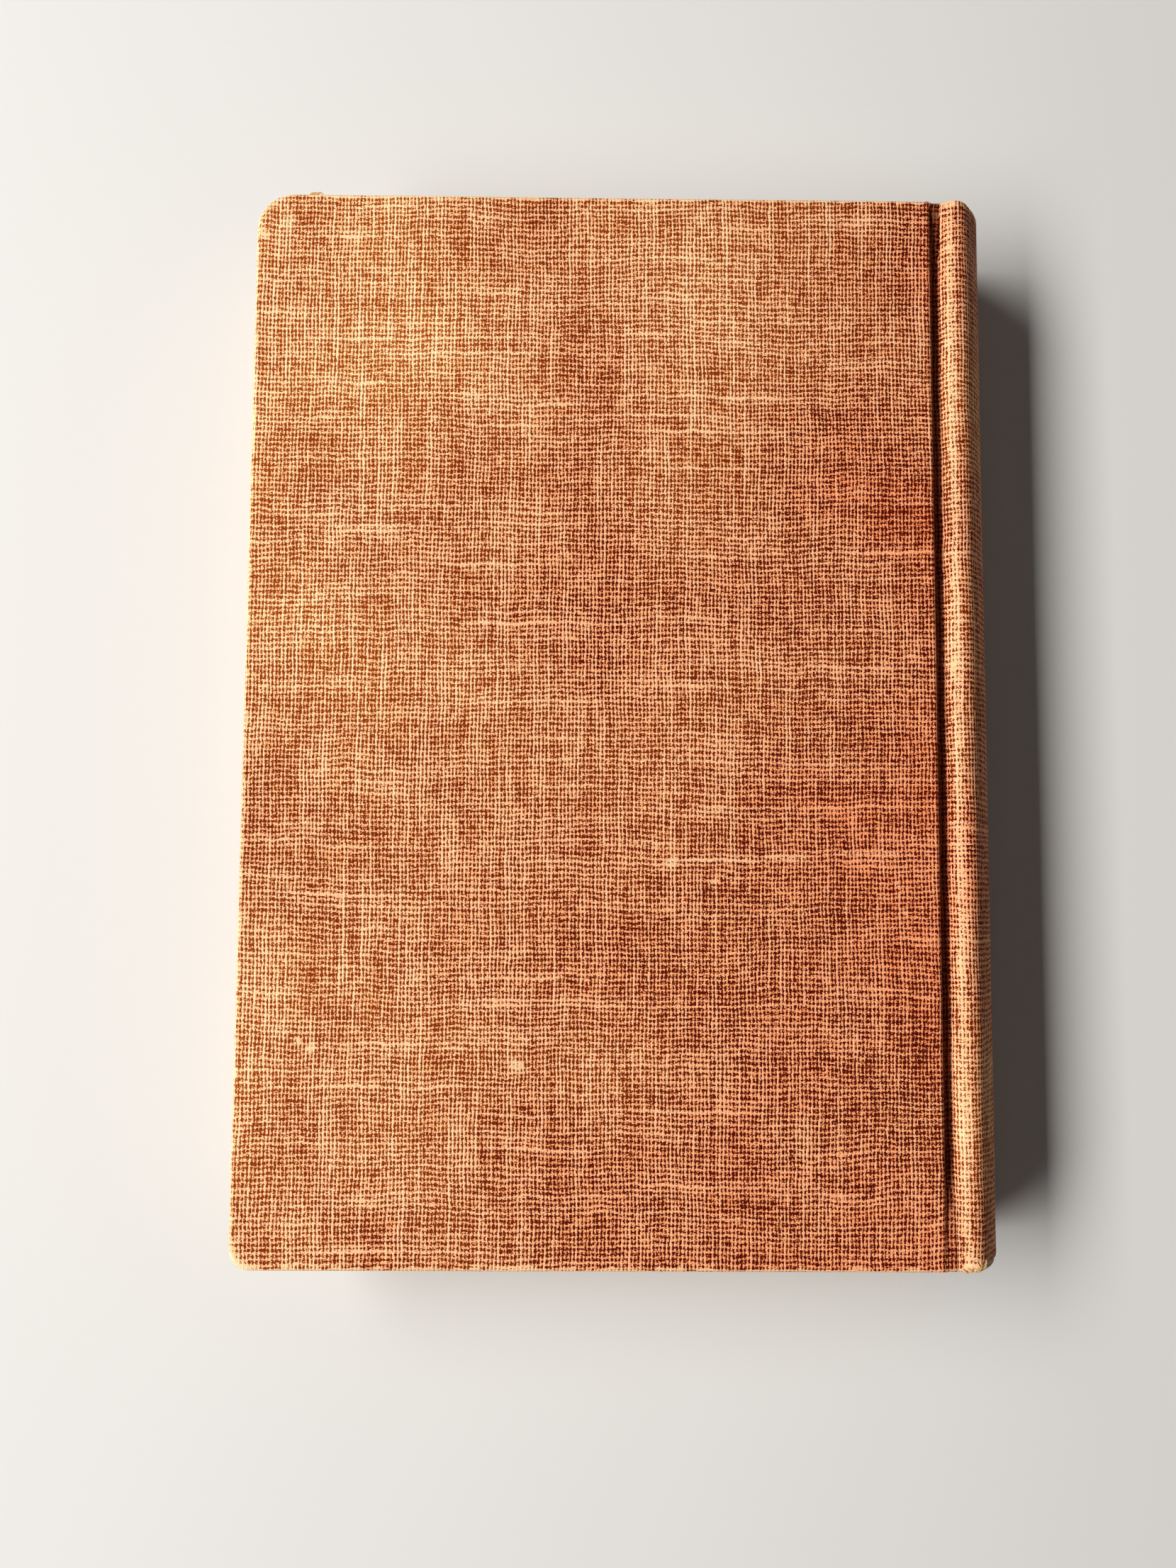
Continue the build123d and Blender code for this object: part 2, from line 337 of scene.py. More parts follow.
def kept_colour_and_painted_light(t, place, from_fore, along):
    """How much of its red-brown the cloth keeps, from 0 to 1. It has faded in clouds and on the spine; it
    is also paler from the groove to the fore-edge, and a little towards the head, as painted light: the
    lamp's sheen and falloff."""
    # Painted light: paler, yellower and shallower-holed towards the fore-edge and a little towards the
    # head, as the lamp's sheen and falloff
    painted_dim_across = node(t, "MapRange", from_fore, 0.0, GROOVE_X - FORE_EDGE_X, 0.0, 0.8)
    on_spine = RIDGE_FOOT_U - FORE_EDGE_X
    faded_spine = node(t, "MapRange", from_fore, on_spine - 1, on_spine + 1, 0.0, 0.3)
    painted_dim_along = node(t, "MapRange", along, CASE_HALF_HEIGHT, -CASE_HALF_HEIGHT, -0.03, 0.28)
    painted_dim_cover = node(t, "Math", painted_dim_across, painted_dim_along, operation="ADD")
    kept_and_painted_dim = node(t, "Math", painted_dim_cover, faded_spine, operation="SUBTRACT")
    clouds = node(t, "TexNoise", place, None, 1 / 55, 2.0, 0.5, noise_dimensions="2D")
    cloudy = node(t, "Math", clouds, 1.2, -0.6, operation="MULTIPLY_ADD")
    return node(t, "Math", kept_and_painted_dim, cloudy, operation="ADD", use_clamp=True)


def groove_shade_and_dust(t, from_fore, along):
    """How far the grooves are darkened, from 0 to 1, less where they run out: painted shade on their floors
    and down the cover's rounded edge into them, with some dust and grease.
    """
    from_groove = node(t, "Math", from_fore, GROOVE_FLOOR_U - FORE_EDGE_X, operation="SUBTRACT")
    off_groove = node(t, "Math", from_groove, operation="ABSOLUTE")
    # Painted shade on the groove's floor
    on_floor = node(t, "MapRange", off_groove, 0.9, 1.8, 0.92, 0.0, **SMOOTH)
    off_edge = node(t, "Math", from_fore, GROOVE_X - FORE_EDGE_X, operation="SUBTRACT")
    # Painted shade where the cover's edge rounds down into the groove
    down_edge = node(t, "MapRange", off_edge, -1.3, 0.6, 0.0, 0.8, **SMOOTH)
    past_edge = node(t, "MapRange", off_edge, 2.0, 5.0, 1.0, 0.0, **SMOOTH)
    by_edge = node(t, "Math", down_edge, past_edge, operation="MULTIPLY")
    in_groove = node(t, "Math", on_floor, by_edge, operation="MAXIMUM")
    runs_out = node(t, "MapRange", along, GROOVE_FADES_Y, GROOVE_FADES_Y - GROOVE_FADE, 1.0, 0.25)
    return node(t, "Math", in_groove, runs_out, operation="MULTIPLY")


def cloth_wear(t, place, from_fore, along):
    """How rubbed the cloth is, from 0 to 1, by how near it is to the case's edges and bumped corners."""
    ragged = node(t, "TexNoise", place, None, 1 / 2.4, 3.0, 0.6, noise_dimensions="2D")
    from_middle = node(t, "Math", along, operation="ABSOLUTE")
    from_end = node(t, "Math", CASE_HALF_HEIGHT, from_middle, operation="SUBTRACT")
    worn = None
    # Both arrises of a cover's edge are rubbed in places
    for inward, low, high, strength in ((from_fore, 0.2, 1.5, 0.4), (from_end, 0.3, 1.7, 0.5)):
        from_edge_middle = node(t, "Math", inward, COVER_THICKNESS / 2, operation="ADD")
        from_arris = node(t, "Math", from_edge_middle, operation="ABSOLUTE")
        past_arris = node(t, "Math", from_arris, ARRIS, operation="SUBTRACT")
        off_arris = node(t, "Math", past_arris, operation="ABSOLUTE")
        reach = node(t, "MapRange", ragged, 0.35, 0.7, low, high)
        depth = node(t, "Math", off_arris, reach, operation="DIVIDE")
        rubbed = node(t, "MapRange", depth, 0.5, 1.2, strength, 0.0, **SMOOTH)
        worn = node(t, "Math", rubbed, worn or 0.0, operation="MAXIMUM")
    # The crest of each ridge is rubbed in a ragged band
    from_crest = node(t, "Math", from_fore, RIDGE_CREST_U - FORE_EDGE_X, operation="SUBTRACT")
    either_side = node(t, "Math", from_crest, operation="ABSOLUTE")
    crest_reach = node(t, "MapRange", ragged, 0.3, 0.65, 0.5, 1.5)
    crest_depth = node(t, "Math", either_side, crest_reach, operation="DIVIDE")
    band = node(t, "MapRange", crest_depth, 0.5, 1.1, 0.28, 0.0, **SMOOTH)
    worn = node(t, "Math", worn, band, operation="MAXIMUM")
    # The back cover's bumped corners are rubbed along their round
    ragged_rim = node(t, "MapRange", ragged, 0.3, 0.6, 0.5, 1.0)
    for end, radius, strength in ((1, WORN_HEAD_CORNER, 0.35), (-1, WORN_TAIL_CORNER, 1.0)):
        centre = (FORE_EDGE_X + radius, end * (CASE_HALF_HEIGHT - radius), 0.0)
        from_centre = node(t, "VectorMath", place, centre, operation="DISTANCE")
        rim = node(t, "MapRange", from_centre.outputs["Value"], radius - 1.8, radius - 0.8, 0.0, 1.0)
        corner = (FORE_EDGE_X + radius * 0.25, end * (CASE_HALF_HEIGHT - radius * 0.25), 0.0)
        off_corner = node(t, "VectorMath", place, corner, operation="DISTANCE")
        near = node(t, "MapRange", off_corner.outputs["Value"], 2.0, 5.5, strength, 0.0)
        bumped = node(t, "Math", rim, near, operation="MULTIPLY")
        patch = node(t, "Math", bumped, ragged_rim, operation="MULTIPLY")
        worn = node(t, "Math", worn, patch, operation="MAXIMUM")
    # Other rubbed places, and the yarn's largest nubs and slubs, which are drawn out across the cover
    for x, y, reach, strength, drawn_out in RUBBED_PLACES:
        from_place = node(t, "VectorMath", place, (x, y, 0.0), operation="SUBTRACT")
        shortened = node(t, "VectorMath", from_place, (1 / drawn_out, 1.0, 1.0), operation="MULTIPLY")
        offset = node(t, "VectorMath", shortened, operation="LENGTH")
        rough_edge = node(t, "MapRange", ragged, 0.3, 0.7, reach * 0.55, reach * 1.35)
        depth = node(t, "Math", offset.outputs["Value"], rough_edge, operation="DIVIDE")
        patch = node(t, "MapRange", depth, 0.4, 1.15, strength, 0.0, **SMOOTH)
        worn = node(t, "Math", worn, patch, operation="MAXIMUM")
    return worn


def plain_fibre(name, dark, light, fibre, roughness, bump_depth, stretch=(1.0, 1.0, 1.0)):
    """A pressed or laid fibre sheet: two close tones in flecks of the fibre's size, with a soft bump."""
    made, t, shader = new_material(name, **{"Roughness": roughness, "Specular IOR Level": 0.3})
    place = node(t, "TexCoord")
    drawn = node(t, "VectorMath", place.outputs["Object"], stretch, operation="MULTIPLY")
    flecks = node(t, "TexNoise", drawn, None, 1000 / fibre, 4.0, 0.65)
    clouds = node(t, "TexNoise", place.outputs["Object"], None, 1000 / 30, 3.0, 0.6)
    together = node(t, "Math", clouds, 0.8, flecks, operation="MULTIPLY_ADD")
    level = node(t, "MapRange", together, 0.6, 1.2, 0.0, 1.0)
    ramp = node(t, "ValToRGB", level)
    set_stops(ramp, [(0.0, dark), (1.0, light)])
    t.links.new(ramp.outputs["Color"], shader.inputs["Base Color"])
    bump = node(t, "Bump", sockets={"Strength": 0.5, "Distance": bump_depth / 1000, "Height": flecks})
    t.links.new(bump.outputs["Normal"], shader.inputs["Normal"])
    return made


def cut_leaf_edges():
    """Book paper seen on its cut edges: fine dark and pale lines along the leaves, toned by age.
    A leaf is 0.1 mm, too fine to show, so the lines are drawn 0.3 to 0.6 mm apart."""
    made, t, shader = new_material("aged_book_paper", **{"Roughness": 0.85, "Specular IOR Level": 0.2})
    place = node(t, "TexCoord")
    sway = node(t, "TexNoise", place.outputs["Object"], None, 1000 / 60, 1.0, 0.5)
    swayed = node(t, "Math", sway, 0.0006, operation="MULTIPLY")
    split = node(t, "SeparateXYZ", place.outputs["Object"])
    level = node(t, "Math", split.outputs["Z"], swayed, operation="ADD")
    fine = node(t, "TexNoise", None, level, 1000 / 0.45, 2.0, 0.7, noise_dimensions="1D")
    gatherings = node(t, "TexNoise", None, level, 1000 / 2.2, 1.0, 0.5, noise_dimensions="1D")
    stains = node(t, "TexNoise", place.outputs["Object"], None, 1000 / 25, 4.0, 0.6)
    lines = node(t, "Math", gatherings, 0.6, fine, operation="MULTIPLY_ADD")
    toned = node(t, "Math", stains, 0.7, lines, operation="MULTIPLY_ADD")
    share = node(t, "MapRange", toned, 0.75, 1.55, 0.0, 1.0)
    ramp = node(t, "ValToRGB", share)
    set_stops(ramp, [(0.0, "#987650"), (0.4, "#cdac80"), (1.0, "#efdbbc")])
    t.links.new(ramp.outputs["Color"], shader.inputs["Base Color"])
    bump = node(t, "Bump", sockets={"Strength": 0.6, "Distance": 0.00015, "Height": fine})
    t.links.new(bump.outputs["Normal"], shader.inputs["Normal"])
    return made


def aged_endpaper():
    """Smooth wove endpaper: cream, browned near its edges, with a few rusty foxing spots."""
    made, t, shader = new_material("aged_wove_endpaper", **{"Roughness": 0.8, "Specular IOR Level": 0.25})
    place = node(t, "TexCoord")
    here = place.outputs["Object"]
    fibre = node(t, "TexNoise", here, None, 1000 / 0.7, 3.0, 0.6)
    cloud = node(t, "TexNoise", here, None, 1000 / 40, 3.0, 0.55)
    split = node(t, "SeparateXYZ", here)
    from_middle = node(t, "Math", split.outputs["Y"], operation="ABSOLUTE")
    end_tone = node(t, "MapRange", from_middle, 0.080, 0.102, 0.0, 0.5, **SMOOTH)
    fore_tone = node(t, "MapRange", split.outputs["X"], -0.071, -0.052, 0.5, 0.0, **SMOOTH)
    edge = node(t, "Math", end_tone, fore_tone, operation="MAXIMUM")
    cloudy = node(t, "Math", cloud, 0.9, -0.3, operation="MULTIPLY_ADD")
    fibrous = node(t, "Math", fibre, 0.16, cloudy, operation="MULTIPLY_ADD")
    tone = node(t, "Math", fibrous, edge, operation="ADD")
    ramp = node(t, "ValToRGB", tone)
    set_stops(ramp, [(0.0, "#efe2c4"), (0.5, "#e2cda4"), (1.0, "#c3a273")])
    spots = node(t, "TexVoronoi", here, None, 1000 / 14, feature="F1")
    spot = node(t, "MapRange", spots.outputs["Distance"], 0.03, 0.09, 0.45, 0.0, **SMOOTH)
    colour = node(t, "Mix", spot, sockets={"A": ramp, "B": linear("#a9743f")}, data_type="RGBA")
    t.links.new(colour.outputs["Result"], shader.inputs["Base Color"])
    bump = node(t, "Bump", sockets={"Strength": 0.25, "Distance": 0.00006, "Height": fibre})
    t.links.new(bump.outputs["Normal"], shader.inputs["Normal"])
    return made


def starched_gauze():
    """Mull: open cotton gauze stiffened with glue, so amber squares show between its pale threads."""
    made, t, shader = new_material("starched_mull", **{"Roughness": 0.7, "Specular IOR Level": 0.35})
    place = node(t, "TexCoord")
    # Threads 1 mm apart both ways
    cells = node(t, "VectorMath", place.outputs["Object"], (1000.0, 1000.0, 1000.0), operation="MULTIPLY")
    split = node(t, "SeparateXYZ", cells)
    over = node(t, "Math", split.outputs["X"], 0.5, operation="PINGPONG")
    down = node(t, "Math", split.outputs["Y"], 0.5, operation="PINGPONG")
    nearest = node(t, "Math", over, down, operation="MINIMUM")
    thread = node(t, "MapRange", nearest, 0.1, 0.2, 1.0, 0.0, **SMOOTH)
    ramp = node(t, "ValToRGB", thread)
    set_stops(ramp, [(0.0, "#a98a5c"), (1.0, "#e3d6b9")])
    t.links.new(ramp.outputs["Color"], shader.inputs["Base Color"])
    bump = node(t, "Bump", sockets={"Strength": 0.6, "Distance": 0.0001, "Height": thread})
    t.links.new(bump.outputs["Normal"], shader.inputs["Normal"])
    return made


def band_thread():
    """Silky cotton thread wound in two colours, as head and tail bands are sewn."""
    made, t, shader = new_material("wound_cotton_thread", **{"Roughness": 0.5, "Specular IOR Level": 0.5})
    place = node(t, "UVMap", uv_map=CLOTH_MAP)
    split = node(t, "SeparateXYZ", place)
    # Four turns of 0.5 mm thread to a stripe
    stripe = node(t, "Math", split.outputs["X"], 2.0, operation="PINGPONG")
    which = node(t, "MapRange", stripe, 0.95, 1.05, 0.0, 1.0)
    slant = node(t, "Math", split.outputs["Y"], 0.35, split.outputs["X"], operation="MULTIPLY_ADD")
    turns = node(t, "Math", slant, 0.25, operation="PINGPONG")
    shade = node(t, "MapRange", turns, 0.0, 0.25, 0.72, 1.0)
    ramp = node(t, "ValToRGB", which)
    set_stops(ramp, [(0.0, "#8f4a34"), (1.0, "#e6d8b6")])
    colour = node(t, "Mix", 1.0, sockets={"A": ramp, "B": shade}, data_type="RGBA", blend_type="MULTIPLY")
    t.links.new(colour.outputs["Result"], shader.inputs["Base Color"])
    bump = node(t, "Bump", sockets={"Strength": 0.5, "Distance": 0.0001, "Height": turns})
    t.links.new(bump.outputs["Normal"], shader.inputs["Normal"])
    return made


book_cloth_finish = book_cloth()
leaf_edge_finish = cut_leaf_edges()
endpaper_finish = aged_endpaper()
gauze_finish = starched_gauze()
band_finish = band_thread()
yarn_finish = plain_fibre("bare_linen_yarn", "#c0905a", "#e6c28c", 0.25, 0.9, 0.03)
board_finish = plain_fibre("grey_millboard", "#7d7060", "#a39680", 0.8, 0.9, 0.08)
kraft_finish = plain_fibre("kraft_paper", "#8a633c", "#b58a5c", 0.6, 0.8, 0.05, (1.0, 0.25, 1.0))
card_finish = plain_fibre("pressed_spine_card", "#8d8069", "#b5a78c", 0.5, 0.85, 0.05)


def to_object(bm, name, finish, thickness=None):
    """Brings a finished mesh to metres, makes it an object, and gives a sheet its thickness inwards."""
    bmesh.ops.scale(bm, vec=(0.001, 0.001, 0.001), verts=bm.verts)
    bm.edges.index_update()
    cut_edges = [edge.index for edge in bm.edges if edge.is_boundary]
    mesh = bpy.data.meshes.new(name)
    bm.to_mesh(mesh)
    bm.free()
    mesh.polygons.foreach_set("use_smooth", [True] * len(mesh.polygons))
    mesh.set_sharp_from_angle(angle=CREASE)
    for index in cut_edges:
        mesh.edges[index].use_edge_sharp = True
    mesh.materials.append(finish)
    piece = bpy.data.objects.new(name, mesh)
    bpy.context.scene.collection.objects.link(piece)
    if thickness:
        wall = piece.modifiers.new("wall", "SOLIDIFY")
        wall.thickness = thickness / 1000
        wall.offset = -1.0
        wall.use_even_offset = True
    return piece


def turn_over(bm):
    """Makes the lower cover's piece of the upper cover's, at the other side of the book's middle."""
    bmesh.ops.scale(bm, vec=(1, 1, -1), verts=bm.verts)
    bmesh.ops.translate(bm, vec=(0, 0, CASE_THICKNESS), verts=bm.verts)
    bmesh.ops.reverse_faces(bm, faces=bm.faces)


def arc(bm, vert, x, z, turn, steps):
    """Carries a vertex round a centre in the book's section and draws its path."""
    swept = bmesh.ops.spin(
        bm, geom=[vert], cent=(x, vert.co.y, z), axis=(0, 1, 0), dvec=(0, 0, 0),
        angle=radians(turn), steps=steps
    )
    return [part for part in swept["geom_last"] if isinstance(part, bmesh.types.BMVert)][0]


def line(bm, vert, x, z):
    """Draws a straight line in the book's section from a vertex."""
    reached = bmesh.ops.extrude_vert_indiv(bm, verts=[vert])["verts"][0]
    reached.co = (x, vert.co.y, z)
    return reached


def cut_through(bm, place, normal, faces=None):
    """Cuts a whole mesh, or some of its faces, along a plane."""
    if faces is None:
        geom = bm.verts[:] + bm.edges[:] + bm.faces[:]
    else:
        edges = {edge for face in faces for edge in face.edges}
        verts = {vert for face in faces for vert in face.verts}
        geom = list(verts) + list(edges) + faces
    bmesh.ops.bisect_plane(bm, geom=geom, dist=1e-4, plane_co=place, plane_no=normal)


def cloth_section(bm, y, inset):
    """The spine cloth in section, from the cover's wall over the ridge to mid-spine."""
    first = len(bm.verts)
    wall_x = GROOVE_X + STRIP_PROUD - inset
    at = bm.verts.new((wall_x, y, STRIP_TOP_Z))
    at = line(bm, at, wall_x, GROOVE_FLOOR_Z + GROOVE_BEND)
    at = arc(bm, at, GROOVE_X + STRIP_PROUD + GROOVE_BEND, GROOVE_FLOOR_Z + GROOVE_BEND, -90, 6)
    at = line(bm, at, BEND_X, at.co.z)
    at = arc(bm, at, BEND_X, BEND_Z, -BEND_TURN, 5)
    at = arc(bm, at, RIDGE_X, RIDGE_Z, RIDGE_TURN, 18)
    arc(bm, at, BACK_X, MID_Z, SHOULDER_TURN, 12)
    bm.verts.ensure_lookup_table()
    row = bm.verts[first:]
    # Inside the groove the turned-in cloth has only the pages' top to lie on
    for vert in row:
        if vert.co.x < BEND_X + RIDGE_BEND:
            vert.co.z = max(vert.co.z, GROOVE_FLOOR_Z - 2 * CLOTH)
    return row


def gauze_section(bm, y):
    """The gauze in section, from its foot in the joint over the shoulder to mid-spine."""
    first = len(bm.verts)
    meets = sqrt(GAUZE_RADIUS ** 2 - (GAUZE_FOOT_Z - RIDGE_Z) ** 2)
    at = bm.verts.new((COVER_SEAM_X, y, GAUZE_FOOT_Z))
    for step in range(1, 9):
        at = line(bm, at, COVER_SEAM_X + (RIDGE_X - meets - COVER_SEAM_X) * step / 8, GAUZE_FOOT_Z)
    rise = degrees(asin((GAUZE_FOOT_Z - RIDGE_Z) / GAUZE_RADIUS))
    at = arc(bm, at, RIDGE_X, RIDGE_Z, 180 - rise - SHOULDER_TURN, 10)
    arc(bm, at, BACK_X, MID_Z, SHOULDER_TURN, 8)
    bm.verts.ensure_lookup_table()
    return bm.verts[first:]


def join_rows(bm, rows):
    """Makes a sheet of sections that follow each other along the book."""
    for one, other in zip(rows, rows[1:]):
        sides = [bm.edges.get(pair) for row in (one, other) for pair in zip(row, row[1:])]
        bmesh.ops.bridge_loops(bm, edges=sides)
    bmesh.ops.recalc_face_normals(bm, faces=bm.faces)
    bm.faces.ensure_lookup_table()
    crest = max(bm.faces, key=lambda face: face.calc_center_median().z)
    if crest.normal.z < 0:
        bmesh.ops.reverse_faces(bm, faces=bm.faces)


def map_rows(bm, rows, lengths, mirrored):
    """Lays the cloth's own flat measure on a sheet of sections: across the sheet, and along the book."""
    flat_place = {}
    reach = 0.0
    base = rows[len(rows) // 2]
    measures = [0.0]
    for one, other in zip(base, base[1:]):
        reach += (other.co - one.co).length
        measures.append(reach)
    for row, length in zip(rows, lengths):
        for vert, measure in zip(row, measures):
            u = GROOVE_X + CASE_THICKNESS - STRIP_TOP_Z + measure
            flat_place[vert] = (2 * MID_SPINE_U - u if mirrored else u, length)
    layer = bm.loops.layers.uv.new(CLOTH_MAP)
    for face in bm.faces:
        for loop in face.loops:
            loop[layer].uv = flat_place[loop.vert]


def spine_rows():
    """Where the spine cloth's sections stand along the book, how far in, and the cloth's measure there."""
    roll = SPINE_WRAP / 2
    straight = CASE_HALF_HEIGHT - roll
    rows = []
    for step in range(22):
        y = -straight + 2 * straight * step / 21
        rows.append((y, 0.0, y))
    for inward in CLOSE_ROWS:
        rows += [(y, 0.0, y) for y in (inward - straight, straight - inward)]
    rows.sort()
    end = []
    for step in range(1, 9):
        turn = pi * step / 8
        end.append((straight + roll * sin(turn), roll * (1 - cos(turn)), straight + roll * turn))
    end.append((CASE_HALF_HEIGHT - TURN_IN, SPINE_WRAP, straight + roll * pi + TURN_IN - roll))
    return [(-y, inset, -v) for y, inset, v in reversed(end)] + rows + end


def spine_half(name, side):
    """One half of the spine's cloth, from its cover's groove to mid-spine."""
    bm = bmesh.new()
    places = spine_rows()
    rows = [cloth_section(bm, y, inset) for y, inset, _ in places]
    join_rows(bm, rows)
    map_rows(bm, rows, [length for _, _, length in places], side == "front")
    # The ridge's ends are domed and rounded off to the spine, and the back cover's groove runs out at both
    for vert in bm.verts:
        ridge_part = min(1.0, max(-1.0, (vert.co.x - RIDGE_X) / RIDGE_RADIUS))
        if side == "back":
            to_tail = (GROOVE_FADES_Y - vert.co.y) / GROOVE_FADE
            to_head = (vert.co.y - GROOVE_ENDS_Y) / GROOVE_END
            share = min(1.0, max(0.0, to_tail, to_head)) * min(1.0, max(0.0, (-0.4 - ridge_part) / 0.6))
            below_top = (CASE_THICKNESS - vert.co.z) / (CASE_THICKNESS - GROOVE_FLOOR_Z)
            vert.co.z += GROOVE_RISE * share * min(1.0, below_top)
        if abs(vert.co.y) > CASE_HALF_HEIGHT - RIDGE_END:
            end = 1 if vert.co.y > 0 else -1
            swell, drop = (HEAD_SWELL, HEAD_DROP) if end == 1 else (TAIL_SWELL, TAIL_DROP)
            vert.co.y += end * (swell - (swell if ridge_part < 0 else drop) * ridge_part ** 2)
    # The pressed ridge is not quite even along the book
    for vert in bm.verts:
        if vert.co.x > GROOVE_X + 2:
            x, y, z = vert.co.x / LUMP_ACROSS, vert.co.y / LUMP_ALONG, vert.co.z / LUMP_ACROSS
            lump = noise.noise(Vector((x, y, z + (side == "front") * 7)))
            vert.co += vert.normal * lump * LUMP_HEIGHT
    if side == "front":
        turn_over(bm)
    piece = to_object(bm, name, book_cloth_finish, CLOTH)
    z = (GROOVE_FLOOR_Z if side == "back" else CASE_THICKNESS - GROOVE_FLOOR_Z) / 1000
    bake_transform(piece)
    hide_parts("spine_cloth")


def loose_loop(bm, foot, size, lean, turn):
    """A broken yarn that stands out of the cloth in a low loop, leaning from upright and turned about Z."""
    ring = bmesh.ops.create_circle(bm, cap_ends=False, segments=6, radius=YARN / 2)["verts"]
    bmesh.ops.translate(bm, vec=(size, 0, 0), verts=ring)
    ring_edges = list({edge for vert in ring for edge in vert.link_edges})
    before = len(bm.verts) - len(ring)
    bmesh.ops.spin(
        bm, geom=ring_edges, cent=(0, 0, 0), axis=(0, 1, 0), dvec=(0, 0, 0), angle=-pi, steps=9
    )
    bm.verts.ensure_lookup_table()
    placing = Matrix.Translation(foot) @ Matrix.Rotation(radians(turn), 4, "Z")
    placing = placing @ Matrix.Rotation(radians(lean), 4, "X")
    bmesh.ops.transform(bm, matrix=placing, verts=bm.verts[before:])


def frayed_yarn(name, loops):
    """A tuft of broken yarn."""
    bm = bmesh.new()
    for foot, size, lean, turn in loops:
        loose_loop(bm, foot, size, lean, turn)
    bmesh.ops.holes_fill(bm, edges=[edge for edge in bm.edges if edge.is_boundary], sides=0)
    bmesh.ops.recalc_face_normals(bm, faces=bm.faces)
    return to_object(bm, name, yarn_finish)


def frayed_places():
    """Loops on the back cover's head edge, and round the tail end of its ridge."""
    draw = Random(5)
    cover = []
    for step in range(5):
        x = FORE_EDGE_X + 10.9 + 0.35 * step
        foot = (x, CASE_HALF_HEIGHT - 0.25, CASE_THICKNESS - 0.6)
        cover.append((foot, draw.uniform(0.35, 0.65), -80, draw.uniform(-35, 35)))
    spine = []
    for step in range(26):
        angle = radians(-42 + 3.6 * step)
        reach = RIDGE_RADIUS - draw.uniform(0.2, 0.4)
        x = RIDGE_X + reach * sin(angle)
        z = RIDGE_Z + reach * cos(angle)
        y = -CASE_HALF_HEIGHT + draw.uniform(0.5, 1.7) + 0.9 * max(0.0, sin(angle)) ** 2
        spine.append(((x, y, z), draw.uniform(0.3, 0.65), draw.uniform(20, 75), draw.uniform(-50, 50)))
    return cover, spine


def frayed_edges():
    """The cover's tuft rides on the cover, and the ridge's stays where it is drawn."""
    cover, spine = frayed_places()
    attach(frayed_yarn("frayed_cover_yarn", cover), "back_cover")
    piece = frayed_yarn("frayed_spine_yarn", spine)
    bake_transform(piece)


def joint_gauze(name, side):
    """One half of the gauze on the pages' back, from its foot in the joint to mid-spine."""
    bm = bmesh.new()
    steps = 10
    rows = [gauze_section(bm, GAUZE_HALF_HEIGHT * (2 * step / steps - 1)) for step in range(steps + 1)]
    join_rows(bm, rows)
    if side == "front":
        turn_over(bm)
    piece = to_object(bm, name, gauze_finish, GAUZE)
    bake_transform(piece)
    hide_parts("spine_mull")


def cover_skin(name, side, head_corner, tail_corner):
    """A cover's cloth: its face, its rounded edges, and the turn-ins round the bare window inside."""
    top = CASE_THICKNESS
    under = top - COVER_THICKNESS
    bm = bmesh.new()
    corners = [(FORE_EDGE_X, -1), (GROOVE_X, -1), (GROOVE_X, 1), (FORE_EDGE_X, 1)]
    verts = [bm.verts.new((x, end * CASE_HALF_HEIGHT, top)) for x, end in corners]
    bm.faces.new(verts)
    for vert, radius in zip(verts, (tail_corner, GROOVE_CORNER, GROOVE_CORNER, head_corner)):
        bmesh.ops.bevel(
            bm, geom=[vert], offset=radius, offset_type="OFFSET", affect="VERTICES", segments=10,
            profile=0.5, material=-1
        )
    raised = bmesh.ops.extrude_face_region(bm, geom=bm.faces[:], use_keep_orig=True)
    lowered = [part for part in raised["geom"] if isinstance(part, bmesh.types.BMVert)]
    bmesh.ops.translate(bm, vec=(0, 0, -COVER_THICKNESS), verts=lowered)
    bmesh.ops.recalc_face_normals(bm, faces=bm.faces)
    rims = [edge for edge in bm.edges if abs(edge.verts[0].co.z - edge.verts[1].co.z) < 0.01]
    bmesh.ops.bevel(
        bm, geom=rims, offset=EDGE_ROUND, offset_type="OFFSET", affect="EDGES", segments=5,
        profile=0.5, material=-1
    )
    # Cuts across the cover, so that it can lie a little uneven, and round the turn-ins
    cuts = [((FORE_EDGE_X + TURN_IN, 0, 0), (1, 0, 0))]
    cuts += [((0, end * (CASE_HALF_HEIGHT - TURN_IN), 0), (0, 1, 0)) for end in (-1, 1)]
    cuts += [((FORE_EDGE_X + CUT_SPACING * step, 0, 0), (1, 0, 0)) for step in range(1, 18) if step != 2]
    cuts += [((0, CUT_SPACING * step, 0), (0, 1, 0)) for step in range(-13, 14) if abs(step) != 12]
    for place, normal in cuts:
        cut_through(bm, place, normal)
    bare = []
    for face in bm.faces:
        middle = face.calc_center_median()
        within = middle.x > FORE_EDGE_X + TURN_IN and abs(middle.y) < CASE_HALF_HEIGHT - TURN_IN
        if within and middle.z < under + 0.01 and middle.x < GROOVE_X - EDGE_ROUND:
            bare.append(face)
    bmesh.ops.delete(bm, geom=bare, context="FACES")
    map_cover(bm, side == "front")
    for vert in bm.verts:
        x, y = vert.co.x / WAVE_LENGTH, vert.co.y / WAVE_LENGTH
        lift = noise.noise(Vector((x, y, 3.1 + (side == "front") * 5)))
        inside = min(1.0, (vert.co.x - FORE_EDGE_X) / 20, (GROOVE_X - vert.co.x) / 10)
        if vert.co.z > top - 1:
            vert.co.z += WAVE_HEIGHT * lift * max(0.0, inside)
    if side == "front":
        turn_over(bm)
    piece = to_object(bm, name, book_cloth_finish, CLOTH)
    even = piece.modifiers.new("even_shading", "WEIGHTED_NORMAL")
    even.keep_sharp = True
    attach(piece, side + "_cover")
    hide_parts(side + "_cloth")


